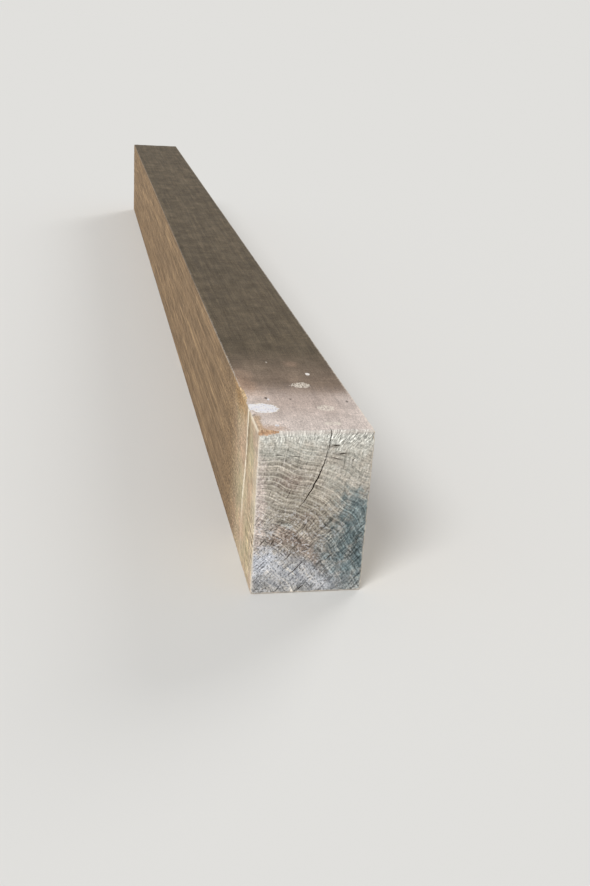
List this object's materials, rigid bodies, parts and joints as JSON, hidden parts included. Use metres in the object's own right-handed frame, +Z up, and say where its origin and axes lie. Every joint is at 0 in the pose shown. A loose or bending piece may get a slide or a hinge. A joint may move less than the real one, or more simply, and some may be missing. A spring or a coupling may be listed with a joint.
{
  "type": "oak beam",
  "caption": "Solid sawn oak beam of rectangular section, with worn arrises, a weathered end and a curved drying check in its end grain.",
  "frame": {"origin": "middle of the bottom face, halfway along the beam", "axes": "+Y along the beam from the weathered end to the plain end, +X across its width, +Z up"},
  "size_m": [0.098, 1.8, 0.15],
  "materials": {
    "oak": "rough-sawn and air-dried, tan-brown along its length and silver-grey at the weathered end"
  },
  "bodies": {
    "root": {"oak_beam": "oak"}
  },
  "joints": []
}
